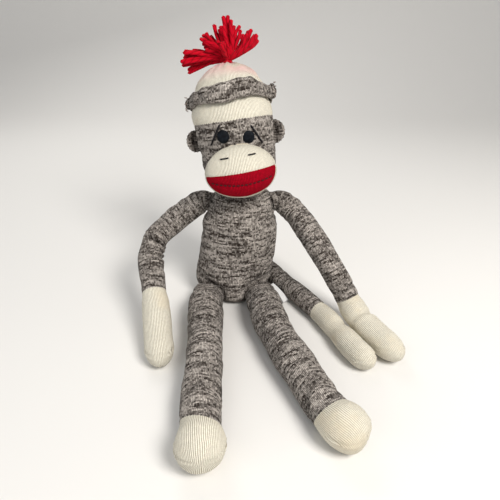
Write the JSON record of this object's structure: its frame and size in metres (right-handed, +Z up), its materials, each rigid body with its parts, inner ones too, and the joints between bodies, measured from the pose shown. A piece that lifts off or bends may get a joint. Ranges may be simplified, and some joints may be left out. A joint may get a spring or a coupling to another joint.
{
  "type": "stuffed toy",
  "caption": "Seated sock monkey doll: knitted, fibre-filled body with long arms, legs and tail, bare muzzle, small ears and a capped head with a yarn pompom.",
  "frame": {"origin": "middle of the flat under the seat, on the surface the doll sits on", "axes": "the doll faces -Y, +Z is up, and -X is the viewer's left"},
  "size_m": [0.2792, 0.3683, 0.3034],
  "materials": {
    "marled_knit": "brown and beige marled cotton knit",
    "cream_knit": "cream cotton knit",
    "red_knit": "red cotton knit and yarn",
    "black_eye": "matt black domed disc",
    "white_tape": "white satin tape"
  },
  "bodies": {
    "torso": {"torso": "marled_knit"},
    "head": {"head": "marled_knit", "head_top": "cream_knit", "muzzle": "cream_knit", "lips": "red_knit", "muzzle_edge": "cream_knit", "eye_left": "black_eye", "eye_right": "black_eye", "ear_left": "marled_knit", "ear_right": "marled_knit", "hat_crown": "cream_knit", "hat_brim": "marled_knit", "pompom": "red_knit"},
    "arm_left": {"arm_left": "marled_knit", "hand_left": "cream_knit"},
    "arm_right": {"arm_right": "marled_knit", "hand_right": "cream_knit"},
    "leg_left": {"leg_left": "marled_knit", "foot_left": "cream_knit"},
    "leg_right": {"leg_right": "marled_knit", "foot_right": "cream_knit", "sewn_tag": "white_tape"},
    "tail": {"tail": "marled_knit", "tail_tip": "cream_knit"}
  },
  "joints": [
    {"name": "neck", "type": "hinge", "parent": "torso", "child": "head", "pos_m": [0.0122, 0.02015, 0.122], "axis": [1, 0, 0], "range_deg": [-20, 12]},
    {"name": "shoulder_left", "type": "hinge", "parent": "torso", "child": "arm_left", "pos_m": [-0.03019, 0.01874, 0.112], "axis": [1, 0, 0], "range_deg": [-130, 50]},
    {"name": "shoulder_right", "type": "hinge", "parent": "torso", "child": "arm_right", "pos_m": [0.04781, 0.01874, 0.112], "axis": [1, 0, 0], "range_deg": [-130, 50]},
    {"name": "hip_left", "type": "hinge", "parent": "torso", "child": "leg_left", "pos_m": [-0.03, -0.022, 0.012], "axis": [1, 0, 0], "range_deg": [-25, 90]},
    {"name": "hip_right", "type": "hinge", "parent": "torso", "child": "leg_right", "pos_m": [0.03, -0.022, 0.012], "axis": [1, 0, 0], "range_deg": [-25, 90]},
    {"name": "tail_seam", "type": "hinge", "parent": "torso", "child": "tail", "pos_m": [0.00867, 0.04019, 0.0085], "axis": [-0.8248, -0.5655, 0], "range_deg": [-60, 5]}
  ]
}
